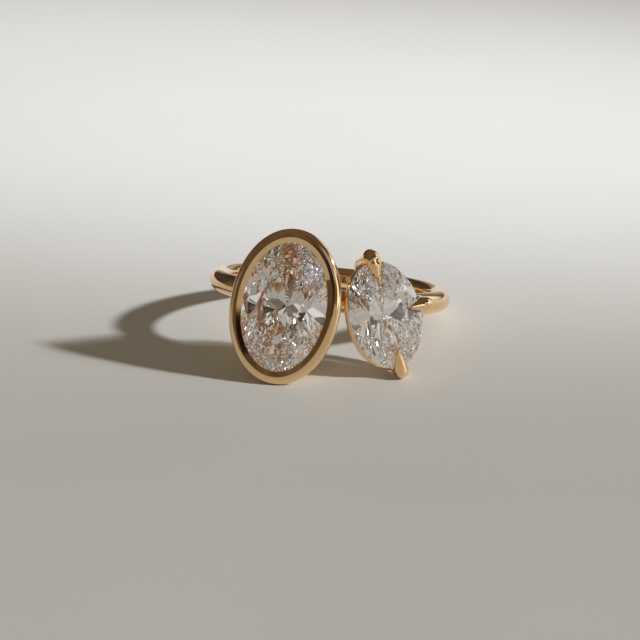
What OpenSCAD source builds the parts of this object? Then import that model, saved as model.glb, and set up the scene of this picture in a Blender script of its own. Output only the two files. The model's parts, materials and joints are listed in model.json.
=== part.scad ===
// A two-stone ring that lies on its side: an oval in a bezel cup and a smaller
// oval in a claw basket, both soldered to one round wire shank.

/* [Shank] */
// Diameter of the finger hole
bore_d = 16.7; // [15:0.1:20]
// Diameter of the round shank wire
wire_d = 1.8; // [1.5:0.1:2.3]
// Depth to which the inside of the wire is dressed flat for the finger
land_depth = 0.12; // [0.08:0.02:0.24]

/* [Bezel stone] */
// Length of the large oval
bezel_stone_l = 10.6; // [9.4:0.1:11.6]
// Width of the large oval
bezel_stone_w = 7.1; // [6.4:0.1:7.6]
// Height of its crown above the girdle
bezel_crown = 1; // [0.7:0.05:1.3]
// Depth of its pavilion below the girdle
bezel_pavilion = 3.05; // [2.6:0.05:3.4]
// Gap between its culet and the shank
bezel_culet_gap = 0.75; // [0.4:0.05:1.4]

/* [Claw stone] */
// Length of the small oval
claw_stone_l = 8.8; // [8:0.1:9.4]
// Width of the small oval
claw_stone_w = 5.9; // [5.4:0.1:6.3]
// Height of its crown above the girdle
claw_crown = 0.85; // [0.6:0.05:1.1]
// Depth of its pavilion below the girdle
claw_pavilion = 2.54; // [2.2:0.02:2.8]
// Gap between its culet and the shank
claw_culet_gap = 1.34; // [0.8:0.02:1.8]

/* [Cut of both stones] */
// Thickness of the girdle
girdle_t = 0.18; // [0.14:0.02:0.3]
// Share of the girdle's width that the table takes
table_share = 0.56; // [0.5:0.01:0.64]
// Gap between each stone and its metal
seat_gap = 0.04; // [0.03:0.01:0.08]

/* [Bezel cup] */
// Angle of the bezel head round the shank, from the front to the left
bezel_angle = 16; // [14:0.5:20]
// Lean of the large oval to the right, seen from the front
bezel_lean = 6.75; // [-10:0.25:15]
// Distance of the bezel head below the middle plane of the shank
bezel_drop = 0.32; // [0:0.01:0.4]
// Reach of the rim outside the girdle
rim_out = 0.93; // [0.75:0.01:1.05]
// Share of the rim's width at which its crest lies, from its outer edge
crest_share = 0.61; // [0.54:0.01:0.68]
// Height of the rim's round above its outer edge
dome_h = 0.42; // [0.25:0.01:0.55]
// Overlap of the lip on the crown
lip_lap = 0.13; // [0.08:0.01:0.2]
// Thickness of the lip's edge
lip_t = 0.08; // [0.05:0.01:0.15]
// Width of the ledge that carries the pavilion
ledge_w = 0.33; // [0.25:0.01:0.45]
// Taper of the cup's outer wall
cup_taper = 22; // [18:0.5:25]
// Thickness of the cup's wall at its foot
cup_wall = 0.7; // [0.5:0.05:0.9]
// Depth to which the cup's foot laps the shank
cup_lap = 0.58; // [0.4:0.02:0.8]

/* [Claw basket] */
// Angle of the claw head round the shank, from the front to the right
claw_angle = 16.8; // [15:0.2:21]
// Lean of the small oval to the left, seen from the front
claw_lean = 22; // [10:0.5:30]
// Distance of the claw head below the middle plane of the shank
claw_drop = 0.25; // [0:0.01:0.4]
// Width of a claw at its shoulder
claw_w = 1; // [0.8:0.02:1.1]
// Thickness of a claw at its shoulder
claw_t = 0.9; // [0.75:0.01:1]
// Gap between each claw and the stone that it holds
claw_gap = 0.08; // [0.07:0.01:0.1]
// Reach of the longest claw over the stone
claw_reach = 1.47; // [1:0.01:1.7]
// Diameter of the rail's wire
rail_d = 0.52; // [0.4:0.02:0.6]
// Gap between the rail and the pavilion above it
rail_gap = 0.07; // [0.05:0.01:0.15]
// Distance of the rail's wire, at its middle, inside the girdle
rail_inset = 0.18; // [0.1:0.01:0.22]
// Shift of the whole rail towards the stone's lower end
rail_shift = 0.15; // [0:0.01:0.2]
// Width of the post that ties the rail to the shank
post_w = 1.2; // [0.9:0.1:1.6]
// Thickness of that post
post_t = 0.5; // [0.4:0.02:0.6]

/* [Hidden] */
gold = [0.83, 0.66, 0.42];
stone = [0.87, 0.89, 0.9];

// Shank radii and the width of its flat land
bore_r = bore_d / 2;
wire_r = wire_d / 2;
centre_r = bore_r - land_depth + wire_r;
outer_r = centre_r + wire_r;
land_w = 2 * sqrt(wire_r * wire_r - pow(wire_r - land_depth, 2));

// Distance of each girdle plane from the finger axis
bezel_girdle_r = outer_r + bezel_culet_gap + bezel_pavilion + girdle_t / 2;
claw_girdle_r = outer_r + claw_culet_gap + claw_pavilion + girdle_t / 2;
claw_depth = claw_girdle_r - outer_r;

// Half axes of the girdles
bezel_a = bezel_stone_l / 2;
bezel_b = bezel_stone_w / 2;
claw_a = claw_stone_l / 2;
claw_b = claw_stone_w / 2;

// Smoothness of round metal, of a claw's section and of its length
$fn = 96;
claw_sides = 10;
claw_steps = 2;
rail_sides = 8;
rail_steps = 48;

// An oval of four arcs, by the direction of its outward normal.
// The end arcs take this share of the half width as their radius.
end_share = 0.79;
function end_r(b) = end_share * b;
function side_r(a, b) =
    (pow(a - end_r(b), 2) + b * b - pow(end_r(b), 2)) / (2 * (b - end_r(b)));
function joint_angle(a, b) = atan2(a - end_r(b), side_r(a, b) - b);
function on_side(a, b, dir) = abs(atan2(sin(dir), abs(cos(dir)))) < joint_angle(a, b);
function side_of(v) = v < 0 ? -1 : 1;
function oval_at(a, b, dir, off = 0) = on_side(a, b, dir)
    ? [side_of(cos(dir)) * (b - side_r(a, b)), 0] + (side_r(a, b) + off) * [cos(dir), sin(dir)]
    : [0, side_of(sin(dir)) * (a - end_r(b))] + (end_r(b) + off) * [cos(dir), sin(dir)];

// Sweeps a section, drawn outward from the oval, round the oval
module oval_sweep(a, b) {
    rs = side_r(a, b);
    re = end_r(b);
    turn = joint_angle(a, b);
    for (half = [0, 180]) rotate(half) {
        translate([b - rs, 0]) rotate(-turn)
            rotate_extrude(angle = 2 * turn) translate([rs, 0]) children();
        translate([0, a - re]) rotate(turn)
            rotate_extrude(angle = 180 - 2 * turn) translate([re, 0]) children();
    }
}

// An oval brilliant: table, 8 stars, 8 kites, 16 upper facets, a girdle of 32,
// 16 lower facets and 8 mains. It is a round brilliant stretched to the oval,
// so that every facet is flat.
star_share = 0.78;
lower_share = 0.22;
function spin(r, dir, z) = [r * cos(dir), r * sin(dir), z];
function cut_points(a, b, crown, pavilion) =
    let (g = girdle_t / 2, top = g + crown, low = -g - pavilion,
         star_z = top - crown * (star_share * cos(22.5) - table_share) / (1 - table_share),
         main_z = low + (-g - low) * lower_share * cos(22.5),
         chord = cos(11.25), dip = 1 - chord,
         rise = (star_z - g) * dip / (chord * (1 - star_share)),
         fall = (-g - main_z) * dip / (chord * (1 - lower_share)),
         unit = concat(
             [for (k = [0:7]) spin(table_share, 45 * k, top)],
             [for (k = [0:7]) spin(star_share, 45 * k + 22.5, star_z)],
             [for (j = [0:31]) spin(1, 11.25 * j, g - (j % 2) * rise)],
             [for (j = [0:31]) spin(1, 11.25 * j, -g + (j % 2) * fall)],
             [for (k = [0:7]) spin(lower_share, 45 * k + 22.5, main_z)],
             [[0, 0, low]]))
    [for (p = unit) [p.x * b, p.y * a, p.z]];
function cut_faces() =
    let (s = 8, u = 16, l = 48, q = 80, c = 88, faces = concat(
        [[for (k = [0:7]) k]],
        [for (k = [0:7]) [k, s + k, (k + 1) % 8]],
        [for (k = [0:7]) [k, s + (k + 7) % 8, u + 4 * k, s + k]],
        [for (k = [0:7], h = [0, 2]) [u + 4 * k + h, u + 4 * k + h + 1,
                                      u + (4 * k + h + 2) % 32, s + k]],
        [for (j = [0:31]) [u + j, l + j, l + (j + 1) % 32, u + (j + 1) % 32]],
        [for (k = [0:7], h = [0, 2]) [l + 4 * k + h, q + k,
                                      l + (4 * k + h + 2) % 32, l + 4 * k + h + 1]],
        [for (k = [0:7]) [l + 4 * k, q + (k + 7) % 8, c, q + k]]))
    [for (f = faces) [for (i = [len(f) - 1:-1:0]) f[i]]];
module cut_stone(a, b, crown, pavilion) {
    polyhedron(cut_points(a, b, crown, pavilion), cut_faces());
}

// Places a head: its own Z points out from the finger, its Y along the shank's
// axis, turned by its lean, and its origin lies in the girdle plane
module at_head(angle, radius, lean, drop) {
    rotate(angle) translate([0, -radius, -drop])
        rotate([90, 0, 0]) rotate(-lean) children();
}
function head_frame(angle, radius, lean, drop) = [
    spin(radius, angle - 90, -drop),
    [cos(lean) * cos(angle), cos(lean) * sin(angle), -sin(lean)],
    [sin(lean) * cos(angle), sin(lean) * sin(angle), cos(lean)],
    [sin(angle), -cos(angle), 0]];
function from_head(f, p) = f[0] + p.x * f[1] + p.y * f[2] + p.z * f[3];
function into_head(f, v) = [v * f[1], v * f[2], v * f[3]];
bezel_frame = head_frame(-bezel_angle, bezel_girdle_r, bezel_lean, bezel_drop);
claw_frame = head_frame(claw_angle, claw_girdle_r, -claw_lean, claw_drop);

// The facets next to the girdle are steeper than the long ones by these shares
upper_steeper = 1.25;
lower_steeper = 1.06;

// Section of the bezel cup, as offsets outward from the girdle and heights
// above its middle plane
crown_pitch = upper_steeper * bezel_crown / (bezel_b * (1 - table_share));
pavilion_pitch = lower_steeper * bezel_pavilion / bezel_b;
lip_z = girdle_t / 2 + seat_gap + lip_lap * crown_pitch;
lip_top = lip_z + lip_t;
crest_in = crest_share * (rim_out + lip_lap);
dome_end = acos(1 - 1 / crest_share);
dome_steps = 8;
dome_z = lip_top - dome_h * sin(dome_end);
cup_foot_z = outer_r - cup_lap - bezel_girdle_r;
cup_foot_d = rim_out + cup_foot_z * tan(cup_taper);
ledge_z = -girdle_t / 2 - seat_gap - ledge_w * pavilion_pitch;
cup_section = concat(
    [[cup_foot_d, cup_foot_z], [rim_out, min(0, dome_z - lip_t)]],
    [for (k = [0:dome_steps]) let (t = k * dome_end / dome_steps)
        [rim_out - crest_in * (1 - cos(t)), dome_z + dome_h * sin(t)]],
    [[-lip_lap, lip_z],
     [seat_gap, girdle_t / 2 + seat_gap], [seat_gap, -girdle_t / 2 - seat_gap],
     [-ledge_w, ledge_z], [-ledge_w, ledge_z - lip_lap],
     [cup_foot_d - cup_wall, cup_foot_z]]);

// Claws, each with its place by the direction of the girdle's normal, its turn
// from there, its reach, width and thickness as shares of the named ones, and
// how slim its point is
claws = [
    [86.5, 2, 1.12, 1.3, 1.08, 0.65],
    [-0.5, -11, 0.73, 1.08, 1.18, 1],
    [270, 0, 1.04, 1.16, 0.93, 1]];
// A claw's tip, along the stone: distance out as a share of the gap, or in as a
// share of the reach, height as a share of half the girdle and the gap, above
// the crown's slope, width share, and outer and inner thickness shares
tip_rows = [
    [1.60, -0.90, 1.00, 0.90, 0.06], [1.55, 0.30, 1.03, 0.92, 0.05],
    [1.10, 1.10, 1.04, 0.91, 0.05], [-0.03, 1.45, 1.00, 0.82, 0.05],
    [-0.27, 1.50, 0.84, 0.66, 0.05], [-0.60, 1.50, 0.56, 0.40, 0.05],
    [-0.88, 1.50, 0.28, 0.19, 0.04], [-1.00, 1.45, 0.09, 0.06, 0.03]];
// How full a claw's round back is: 1 is an ellipse, and less is fuller
back_power = 0.8;
// A stem at the stone's end and one at its side, from the foot up: distance in
// as a share of the half axis, depth as a share of the girdle's height over the
// shank, width share and thickness share
end_stem = [
    [1.12, 1.05, 0.70, 0.70], [0.86, 1.03, 0.70, 0.70], [0.58, 0.98, 0.72, 0.72],
    [0.34, 0.87, 0.74, 0.74], [0.20, 0.69, 0.78, 0.76], [0.13, 0.46, 0.84, 0.80],
    [0.07, 0.22, 0.94, 0.88]];
side_stem = [
    [0.66, 1.13, 0.70, 0.70], [0.50, 0.94, 0.72, 0.72], [0.32, 0.71, 0.76, 0.76],
    [0.18, 0.46, 0.84, 0.80], [0.08, 0.22, 0.94, 0.88]];

// A smooth curve through the rows of a table, with steps points a span
function mix4(p, q, r, s, t) = 0.5 * (2 * q + (r - p) * t
    + (2 * p - 5 * q + 4 * r - s) * t * t + (3 * q - p - 3 * r + s) * t * t * t);
function eased(rows, steps) = let (n = len(rows) - 1) concat(
    [for (i = [0:n - 1], k = [0:steps - 1])
        mix4(rows[max(i - 1, 0)], rows[i], rows[i + 1], rows[min(i + 2, n)], k / steps)],
    [rows[n]]);

// Rows of one claw in millimetres: out, up, half width, outer and inner depth
function at_end(dir) = abs(sin(dir)) > 0.5;
function half_axis(dir) = at_end(dir) ? claw_a : claw_b;
function claw_pitch(dir) = claw_crown / ((1 - table_share) * half_axis(dir));
function stem_row(c, r) = let (t = claw_t * c[4])
    [t / 2 - r[0] * half_axis(c[0]), -r[1] * claw_depth,
     r[2] * claw_w * c[3] / 2, r[3] * t / 2, r[3] * t / 2];
function tip_row(c, r) = let (t = claw_t * c[4], slim = r[0] < -0.5 ? c[5] : 1,
        d = r[0] * (r[0] < 0 ? claw_reach * c[2] : claw_gap))
    [d, r[1] * (girdle_t / 2 + claw_gap) + claw_pitch(c[0]) * max(0, -d),
     slim * r[2] * claw_w * c[3] / 2, slim * r[3] * t, r[4] * t];
function claw_rows(c) = eased(concat(
    [for (r = at_end(c[0]) ? end_stem : side_stem) stem_row(c, r)],
    [for (r = tip_rows) tip_row(c, r)]), claw_steps);

// Rings of a claw or post, swept in the upright plane through its girdle point
function slope_at(rows, i) = let (d = rows[min(i + 1, len(rows) - 1)] - rows[max(i - 1, 0)])
    [d[0], d[1]] / norm([d[0], d[1]]);
function swept_points(base, dir, rows) = [
    for (i = [0:len(rows) - 1], k = [0:claw_sides - 1])
        let (r = rows[i], s = slope_at(rows, i), q = 360 * k / claw_sides,
             across = r[2] * cos(q),
             out = sin(q) > 0 ? r[3] * pow(sin(q), back_power) : r[4] * sin(q),
             d = r[0] + out * s[1], z = r[1] - out * s[0])
        [base.x + d * cos(dir) + across * sin(dir),
         base.y + d * sin(dir) - across * cos(dir), z]];
function swept_faces(n) = let (m = claw_sides) concat(
    [[for (k = [0:m - 1]) k]],
    [for (i = [0:n - 2], k = [0:m - 1]) let (j = (k + 1) % m)
        [i * m + k, (i + 1) * m + k, (i + 1) * m + j, i * m + j]],
    [[for (k = [m - 1:-1:0]) (n - 1) * m + k]]);
function claw_points(c) =
    swept_points(oval_at(claw_a, claw_b, c[0]), c[0] + c[1], claw_rows(c));
module swept(points) {
    polyhedron(points, swept_faces(len(points) / claw_sides), convexity = 4);
}

// The rail's wire runs round under the girdle, clear of the pavilion's slope
rail_pitch = lower_steeper * claw_pavilion / claw_b;
rail_drop = girdle_t / 2 + rail_pitch * rail_inset
    + (rail_d / 2 + rail_gap) * sqrt(1 + rail_pitch * rail_pitch);
rail_points = [for (i = [0:rail_steps - 1], k = [0:rail_sides - 1])
    let (t = 360 * i / rail_steps, q = 360 * (k + 0.5) / rail_sides,
         dir = atan2(claw_b * sin(t), claw_a * cos(t)),
         p = oval_at(claw_a, claw_b, dir, rail_d / 2 * cos(q) - rail_inset))
    [p.x, p.y - rail_shift, rail_d / 2 * sin(q) - rail_drop]];
rail_faces = [for (i = [0:rail_steps - 1], k = [0:rail_sides - 1])
    let (m = rail_sides, j = (k + 1) % m, n = (i + 1) % rail_steps)
    [i * m + j, n * m + j, n * m + k, i * m + k]];

// The post goes down from the rail to the shank, where the shank passes behind
// the stone's left side. Its rows are the distance in from the rail, as a share
// of the half axis, and the depth under it, as a share of its way to the shank.
post_dir = 160;
post_shape = [[0, 0], [0.11, 0.28], [0.31, 0.7], [0.51, 1.14]];
post_rows = [for (r = post_shape)
    [-rail_inset - r[0] * claw_b, -rail_drop - r[1] * (claw_depth - rail_drop),
     post_w / 2, post_t / 2, post_t / 2]];
post_points = swept_points(oval_at(claw_a, claw_b, post_dir), post_dir, eased(post_rows, claw_steps));

// How far each piece reaches in a direction, for the way that the ring rests
function shank_reach(v) = centre_r * norm([v.x, v.y]) + wire_r * norm(v);
function points_reach(points, v) = max([for (p = points) p * v]);
function cup_reach(v) = let (w = into_head(bezel_frame, v), dir = atan2(w.y, w.x))
    bezel_frame[0] * v + max([for (s = cup_section)
        oval_at(bezel_a, bezel_b, dir, s[0]) * [w.x, w.y] + s[1] * w.z]);
claw_cloud = [for (c = claws, p = claw_points(c)) from_head(claw_frame, p)];
stone_cloud = concat(
    [for (p = cut_points(bezel_a, bezel_b, bezel_crown, bezel_pavilion)) from_head(bezel_frame, p)],
    [for (p = cut_points(claw_a, claw_b, claw_crown, claw_pavilion)) from_head(claw_frame, p)]);
function reach(v) = max(shank_reach(v), cup_reach(v),
                        points_reach(claw_cloud, v), points_reach(stone_cloud, v));

// The ring lies on the rim of its cup, the end of its lowest claw and the back
// of its shank. The lean of the way down is stepped until all three touch.
function unit(v) = v / norm(v);
function down(t) = unit([t.x, t.y, -1]);
function miss(t) = let (v = down(t))
    [cup_reach(v) - shank_reach(v), points_reach(claw_cloud, v) - shank_reach(v)];
function settle(t, left) = left == 0 ? t : let (e = 0.0001, m = miss(t),
        dx = (miss(t + [e, 0]) - m) / e, dy = (miss(t + [0, e]) - m) / e,
        det = dx.x * dy.y - dy.x * dx.y,
        step = [(m.x * dy.y - m.y * dy.x) / det, (m.y * dx.x - m.x * dx.y) / det])
    settle(t - step, left - 1);
first_lean = [0.1, 0.2];
settle_rounds = 8;
rest_down = down(settle(first_lean, settle_rounds));
axis_z = -rest_down;
axis_y = unit([0, 1, 0] - axis_z * axis_z.y);
axis_x = cross(axis_y, axis_z);
origin = [(reach(axis_x) - reach(-axis_x)) / 2, (reach(axis_y) - reach(-axis_y)) / 2,
          -reach(rest_down)];
function row_of(axis, shift) = [axis.x, axis.y, axis.z, -shift];
module rest() {
    multmatrix([row_of(axis_x, origin.x), row_of(axis_y, origin.y),
                row_of(axis_z, origin.z), [0, 0, 0, 1]]) children();
}

module shank() {
    difference() {
        rotate_extrude() translate([centre_r, 0]) circle(r = wire_r);
        cylinder(r = bore_r, h = 2 * wire_d, center = true);
    }
}
module bezel_cup() {
    at_head(-bezel_angle, bezel_girdle_r, bezel_lean, bezel_drop)
        oval_sweep(bezel_a, bezel_b) polygon(cup_section);
}
module claw_basket() {
    at_head(claw_angle, claw_girdle_r, -claw_lean, claw_drop) {
        polyhedron(rail_points, rail_faces, convexity = 4);
        for (c = claws) swept(claw_points(c));
        swept(post_points);
    }
}

module gold_mount() {
    color(gold) rest() union() {
        shank();
        bezel_cup();
        claw_basket();
    }
}
module bezel_oval_stone() {
    color(stone) rest() at_head(-bezel_angle, bezel_girdle_r, bezel_lean, bezel_drop)
        cut_stone(bezel_a, bezel_b, bezel_crown, bezel_pavilion);
}
module claw_oval_stone() {
    color(stone) rest() at_head(claw_angle, claw_girdle_r, -claw_lean, claw_drop)
        cut_stone(claw_a, claw_b, claw_crown, claw_pavilion);
}

gold_mount();
bezel_oval_stone();
claw_oval_stone();
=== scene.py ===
"""Looks of a toi et moi ring that lies on its side: polished gold and two oval brilliants.

The classes hold real sizes in millimetres, in the frame of the ring or of one of its heads.
A mesh becomes metres when it is made, and takes its place from the finger hole of the frame.
"""

import json
import logging
from collections.abc import Callable, Sequence
from dataclasses import dataclass, field
from enum import Enum
from math import acos, atan2, cos, hypot, pi, radians, sin, tan
from typing import NamedTuple

import bpy
from mathutils import Matrix, Quaternion, Vector

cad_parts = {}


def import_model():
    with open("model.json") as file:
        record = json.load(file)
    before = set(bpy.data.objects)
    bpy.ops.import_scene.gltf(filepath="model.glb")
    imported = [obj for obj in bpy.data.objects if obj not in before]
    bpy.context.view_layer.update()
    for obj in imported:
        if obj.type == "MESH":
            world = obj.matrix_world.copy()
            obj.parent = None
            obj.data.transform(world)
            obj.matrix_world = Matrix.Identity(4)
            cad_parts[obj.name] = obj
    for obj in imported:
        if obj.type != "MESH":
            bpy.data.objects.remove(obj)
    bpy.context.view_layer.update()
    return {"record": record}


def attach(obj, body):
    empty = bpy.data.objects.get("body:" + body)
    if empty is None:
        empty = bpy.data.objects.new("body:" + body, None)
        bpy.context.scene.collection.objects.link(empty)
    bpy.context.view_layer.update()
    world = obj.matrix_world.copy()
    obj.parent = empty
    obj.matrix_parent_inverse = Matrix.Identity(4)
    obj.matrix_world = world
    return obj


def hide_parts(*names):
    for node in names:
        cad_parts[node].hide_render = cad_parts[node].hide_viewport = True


LOG = logging.getLogger("ring")
MM = 0.001
BODY = "root"
GOLD_NODE = "gold_mount"

Colour = tuple[float, float, float]
Socket = bpy.types.NodeSocket
Node = bpy.types.Node
Tree = bpy.types.NodeTree
Material = bpy.types.Material
Piece = bpy.types.Object


class Wiring:
    """Adds nodes to one node tree and joins them."""

    def __init__(self, tree: Tree) -> None:
        """Starts on an emptied tree."""
        self.tree = tree
        tree.nodes.clear()

    def add(self, kind: str, inputs: dict[str | int, object] | None = None, **settings: object) -> Node:
        """Adds one node.

        Args:
            kind: Blender's name of the node type, without its ShaderNode prefix.
            inputs: What each named or numbered input gets, a socket to join or a plain value.
            settings: The node's own properties.

        Returns:
            The new node.
        """
        node = self.tree.nodes.new(kind if kind.startswith("NodeGroup") else "ShaderNode" + kind)
        for name, value in settings.items():
            setattr(node, name, value)
        for key, value in (inputs or {}).items():
            socket = node.inputs[key]
            if isinstance(value, Socket):
                self.tree.links.new(value, socket)
            else:
                socket.default_value = (*value, 1.0) if socket.type == "RGBA" else value
        return node

    def maths(self, operation: str, *values: object) -> Socket:
        """Gives the result of a Math node on its operands, sockets or numbers."""
        return self.add("Math", dict(enumerate(values)), operation=operation).outputs[0]

    def noise(self, place: Socket, scale: float | Socket, detail: float = 3.0, rough: float = 0.5) -> Socket:
        """Gives noise about one half, with its waves a metre and its finer layers' number and strength."""
        inputs = {"Vector": place, "Scale": scale, "Detail": detail, "Roughness": rough}
        return self.add("TexNoise", inputs).outputs["Fac"]

    def between(self, value: Socket, low: float, high: float, to_low: object = 0.0,
                to_high: object = 1.0) -> Socket:
        """Maps a value from low and high to to_low and to_high, and holds it between them."""
        inputs = {"Value": value, "From Min": low, "From Max": high, "To Min": to_low, "To Max": to_high}
        return self.add("MapRange", inputs).outputs["Result"]

    def blend(self, share: Socket, first: object, second: object) -> Socket:
        """Mixes a share of the second colour into the first, each a socket or three numbers."""
        return self.add("Mix", {0: share, 6: first, 7: second}, data_type="RGBA").outputs[2]

    def scaled(self, colour: object, factor: Socket) -> Socket:
        """Multiplies a colour, a socket or three numbers, by one value."""
        return self.add("VectorMath", {0: colour, 3: factor}, operation="SCALE").outputs["Vector"]

    def cells(self, place: Socket, scale: float) -> tuple[Socket, list[Socket]]:
        """Gives the distance from the middle of a random cell, and three random values of that cell."""
        cell = self.add("TexVoronoi", {"Vector": place, "Scale": scale, "Randomness": 1.0}).outputs
        return cell["Distance"], list(self.add("SeparateColor", {"Color": cell["Color"]}).outputs)


class Effect(Enum):
    """The surface effects that more than one finish uses, as shader node groups."""

    POLISH = "PolishMarks"
    DRIFT = "ColourDrift"


class EffectShop:
    """Builds each effect's node group once.

    Attributes:
        line_values: Noise values where a hairline begins and where it is deepest.
        line_turns: How the two crossing sets of hairlines are turned, in radians.
        cloud_values: Noise values where haze begins and where it is full.
        cloud_pace: The haze's waves for each wave of the polish.
        haze_share: How much of the haze a hairline or a cloud gives.
        drift_values: Noise values where the drift to the other colour begins and ends.
    """

    line_values = (0.62, 0.78)
    line_turns = ((0.4, 0.9, 0.2), (1.3, 0.2, 1.1))
    cloud_values = (0.4, 0.7)
    cloud_pace = 2.3
    haze_share = 0.6
    drift_values = (0.38, 0.68)

    def __init__(self) -> None:
        """Starts with no group built."""
        self.built: dict[Effect, Tree] = {}

    def use(self, wiring: Wiring, effect: Effect, inputs: dict[str, object]) -> Node:
        """Places an effect in a material, and builds its node group the first time.

        Args:
            wiring: The material's wiring.
            effect: The effect.
            inputs: What its named inputs get.

        Returns:
            The group node.
        """
        if effect not in self.built:
            self.built[effect] = {Effect.POLISH: self._polish, Effect.DRIFT: self._drift}[effect]()
        return wiring.add("Group", inputs, node_tree=self.built[effect])

    @staticmethod
    def _start(effect: Effect, inputs: dict[str, str], outputs: dict[str, str]) -> tuple[Wiring, Node]:
        """Makes an empty group with its sockets.

        Args:
            effect: Whose group it is.
            inputs: Each input's name and kind.
            outputs: Each output's name and kind.

        Returns:
            The group's wiring and its input node.
        """
        tree = bpy.data.node_groups.new(effect.value, "ShaderNodeTree")
        for in_out, sockets in (("INPUT", inputs), ("OUTPUT", outputs)):
            for name, kind in sockets.items():
                tree.interface.new_socket(name, in_out=in_out, socket_type="NodeSocket" + kind)
        wiring = Wiring(tree)
        return wiring, wiring.add("NodeGroupInput")

    def _polish(self) -> Tree:
        """Builds the marks of hand polishing: slow waves, fine hairlines and haze."""
        wiring, given = self._start(
            Effect.POLISH,
            {"Place": "Vector", "Wave Scale": "Float", "Hairline Scale": "Float", "Hairline Share": "Float"},
            {"Height": "Float", "Haze": "Float"},
        )
        place, pace = given.outputs["Place"], given.outputs["Wave Scale"]
        waves = wiring.noise(place, pace, detail=1.0)
        lines = []
        for turn in self.line_turns:
            turned = wiring.add("Mapping", {"Vector": place, "Rotation": turn, "Scale": (1.0, 0.04, 0.04)})
            scale = given.outputs["Hairline Scale"]
            lines.append(wiring.noise(turned.outputs[0], scale, detail=2.0, rough=0.7))
        deepest = given.outputs["Hairline Share"]
        hairlines = wiring.between(wiring.maths("MAXIMUM", *lines), *self.line_values, 0.0, deepest)
        height = wiring.maths("SUBTRACT", waves, hairlines)
        cloud = wiring.noise(place, wiring.maths("MULTIPLY", pace, self.cloud_pace), detail=4.0)
        clouded = wiring.between(cloud, *self.cloud_values, 0.0, self.haze_share)
        haze = wiring.maths("ADD", wiring.maths("MULTIPLY", hairlines, self.haze_share), clouded)
        wiring.add("NodeGroupOutput", {"Height": height, "Haze": haze})
        return wiring.tree

    def _drift(self) -> Tree:
        """Builds the slow drift of a surface between two colours."""
        wiring, given = self._start(
            Effect.DRIFT,
            {"Place": "Vector", "Scale": "Float", "Main": "Color", "Other": "Color"},
            {"Colour": "Color"},
        )
        noise = wiring.noise(given.outputs["Place"], given.outputs["Scale"], detail=3.0, rough=0.6)
        share = wiring.between(noise, *self.drift_values)
        colour = wiring.blend(share, given.outputs["Main"], given.outputs["Other"])
        wiring.add("NodeGroupOutput", {"Colour": colour})
        return wiring.tree


@dataclass(frozen=True)
class Finish:
    """A finish whose colour drifts slowly between two tones.

    Attributes:
        name: The material's name.
        main: Its main colour.
        other: The colour that it drifts to.
        drift_scale: Waves of the drift a metre.
    """

    name: str
    main: Colour
    other: Colour
    drift_scale: float

    def material(self, shop: EffectShop) -> Material:
        """Makes the material.

        Args:
            shop: Where the shared effects come from.

        Returns:
            The material.
        """
        material = bpy.data.materials.new(self.name)
        material.use_nodes = True
        wiring = Wiring(material.node_tree)
        place = wiring.add("TexCoord").outputs["Object"]
        drift = shop.use(wiring, Effect.DRIFT, {
            "Place": place, "Scale": self.drift_scale, "Main": self.main, "Other": self.other})
        inputs = {"Base Color": drift.outputs["Colour"], **self.gloss(wiring, place, shop)}
        shader = wiring.add("BsdfPrincipled", inputs)
        wiring.add("OutputMaterial", {"Surface": shader.outputs[0]})
        return material

    def gloss(self, wiring: Wiring, place: Socket, shop: EffectShop) -> dict[str, object]:
        """Gives what the shader gets besides its colour."""
        raise NotImplementedError


@dataclass(frozen=True)
class PolishedGold(Finish):
    """Warm yellow gold with a mirror polish.

    Attributes:
        glossy: Roughness where the polish is best.
        hazy: Roughness where it is least.
        wave_scale: Waves of the polish a metre.
        wave_height: Height of those waves in metres.
        hairline_scale: Hairlines a metre.
        hairline_share: Depth of the hairlines, as a share of the waves.
    """

    main: Colour = (0.95, 0.69, 0.4)
    other: Colour = (0.9, 0.63, 0.34)
    drift_scale: float = 260.0
    glossy: float = 0.02
    hazy: float = 0.08
    wave_scale: float = 420.0
    wave_height: float = 0.000012
    hairline_scale: float = 9000.0
    hairline_share: float = 0.12

    def gloss(self, wiring: Wiring, place: Socket, shop: EffectShop) -> dict[str, object]:
        """Works out the polish with its marks.

        Args:
            wiring: The material's wiring.
            place: The place on the surface.
            shop: Where the shared effects come from.

        Returns:
            The shader's inputs.
        """
        marks = shop.use(wiring, Effect.POLISH, {
            "Place": place, "Wave Scale": self.wave_scale, "Hairline Scale": self.hairline_scale,
            "Hairline Share": self.hairline_share})
        rough = wiring.between(marks.outputs["Haze"], 0.0, 1.0, self.glossy, self.hazy)
        bump = wiring.add("Bump", {
            "Height": marks.outputs["Height"], "Distance": self.wave_height, "Strength": 1.0})
        return {"Metallic": 1.0, "Roughness": rough, "Normal": bump.outputs["Normal"]}


@dataclass(frozen=True)
class CutDiamond(Finish):
    """Colourless cut stone, clear through its facets.

    Attributes:
        rough: Roughness of the facets, or of a girdle left matt.
        ior: How much it bends light.
    """

    main: Colour = (0.985, 0.985, 0.99)
    other: Colour = (0.955, 0.95, 0.94)
    drift_scale: float = 500.0
    rough: float = 0.0
    ior: float = 2.417

    def gloss(self, wiring: Wiring, place: Socket, shop: EffectShop) -> dict[str, object]:
        """Gives the clear stone's plain values."""
        return {"Roughness": self.rough, "IOR": self.ior, "Transmission Weight": 1.0}


@dataclass(frozen=True)
class PaleGround(Finish):
    """Matt pale surface under the ring.

    Attributes:
        rough: Its roughness.
        shine: How strongly it shines, one half as a rule.
    """

    name: str = "pale_ground"
    main: Colour = (0.765, 0.755, 0.725)
    other: Colour = (0.735, 0.725, 0.69)
    drift_scale: float = 14.0
    rough: float = 0.55
    shine: float = 0.25

    def gloss(self, wiring: Wiring, place: Socket, shop: EffectShop) -> dict[str, object]:
        """Gives the matt surface's plain values."""
        return {"Roughness": self.rough, "Specular IOR Level": self.shine}


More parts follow.
